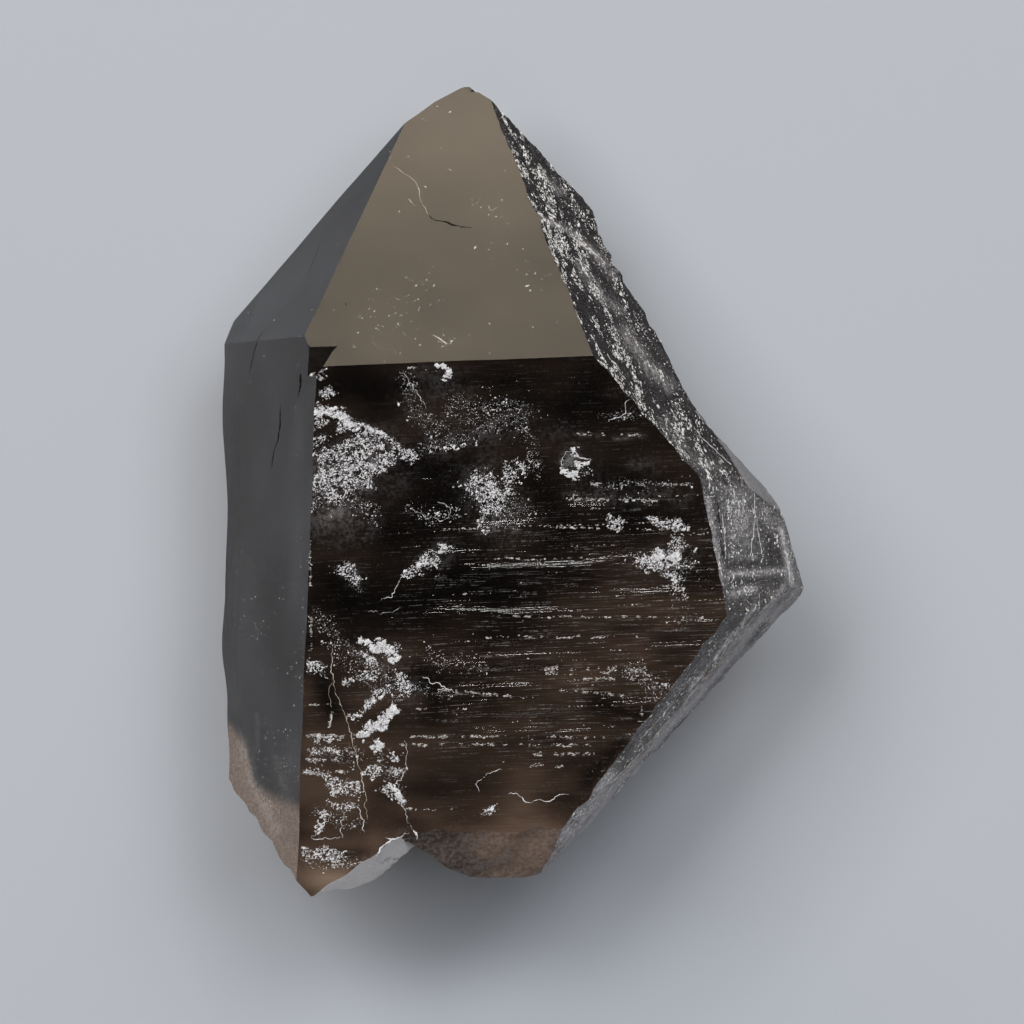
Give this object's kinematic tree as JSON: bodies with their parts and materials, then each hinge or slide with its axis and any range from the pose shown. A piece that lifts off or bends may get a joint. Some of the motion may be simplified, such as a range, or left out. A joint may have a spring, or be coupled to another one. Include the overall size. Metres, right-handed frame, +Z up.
{
  "type": "smoky quartz crystal",
  "caption": "Single dark smoky quartz crystal lying on a prism face, with a steep point, a stepped right flank and a broken lower end.",
  "frame": {"origin": "on the resting plane, under the centre of the crystal's box", "axes": "+Y along the crystal's long axis towards its point, +Z up from the face it rests on, +X to the right seen from above with the point away"},
  "size_m": [0.0598, 0.082, 0.038],
  "materials": {
    "quartz": "glassy natural crystal faces, smoky brown to black, see-through only at thin edges, with white mineral crust"
  },
  "bodies": {
    "root": {"crystal": "quartz"}
  },
  "joints": []
}
